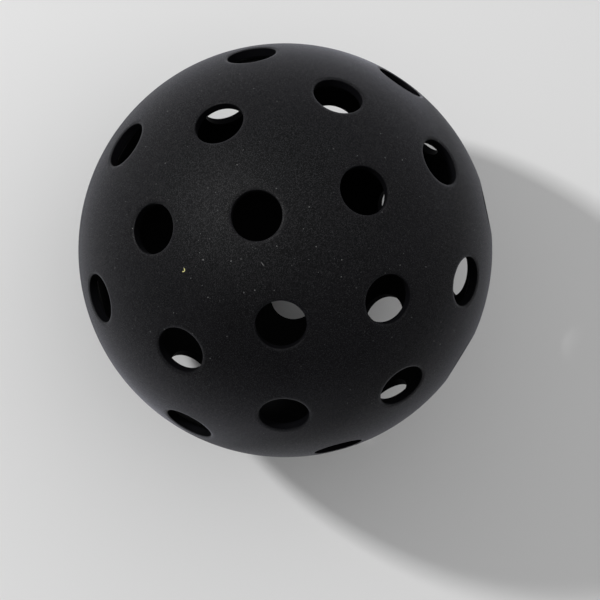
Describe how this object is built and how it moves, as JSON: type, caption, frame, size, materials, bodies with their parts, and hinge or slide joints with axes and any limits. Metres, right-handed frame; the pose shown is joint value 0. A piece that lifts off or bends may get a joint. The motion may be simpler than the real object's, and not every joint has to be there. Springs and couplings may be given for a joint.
{
  "type": "pickleball",
  "caption": "Hollow rigid plastic court ball with round drilled holes, made of two half shells welded at the equator.",
  "frame": {"origin": "centre of the ball", "axes": "+Z is the moulding and welding axis through both poles, so the weld lies in the plane Z = 0 and the lower half is below it; +X passes through the middle of a hole of the upper half's ring nearest the weld"},
  "size_m": [0.074, 0.074, 0.074],
  "materials": {
    "shell_plastic": "fine-grained matte moulded polyethylene, black",
    "weld_plastic": "smooth remelted polyethylene, black"
  },
  "bodies": {
    "root": {"upper_half_shell": "shell_plastic", "lower_half_shell": "shell_plastic", "weld_bead": "weld_plastic"}
  },
  "joints": []
}
